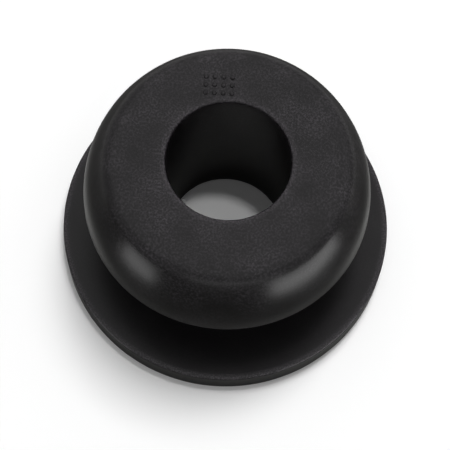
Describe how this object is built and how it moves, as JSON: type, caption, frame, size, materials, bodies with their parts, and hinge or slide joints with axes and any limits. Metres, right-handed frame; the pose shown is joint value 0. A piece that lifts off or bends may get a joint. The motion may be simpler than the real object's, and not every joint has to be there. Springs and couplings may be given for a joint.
{
  "type": "dust seal",
  "caption": "Round moulded rubber dust seal: a domed crown and a wider flange on a grooved neck that snaps into a panel hole, with a straight bore for a rod or cable.",
  "frame": {"origin": "centre of the flange's flat base, on the bore's axis", "axes": "+Z along the bore, from the flange up to the crown; X and Y are any two directions across it"},
  "size_m": [0.034, 0.034, 0.02],
  "materials": {
    "rubber": "matt moulded black rubber with a faint dusty bloom"
  },
  "bodies": {
    "root": {"dust_seal": "rubber"}
  },
  "joints": []
}
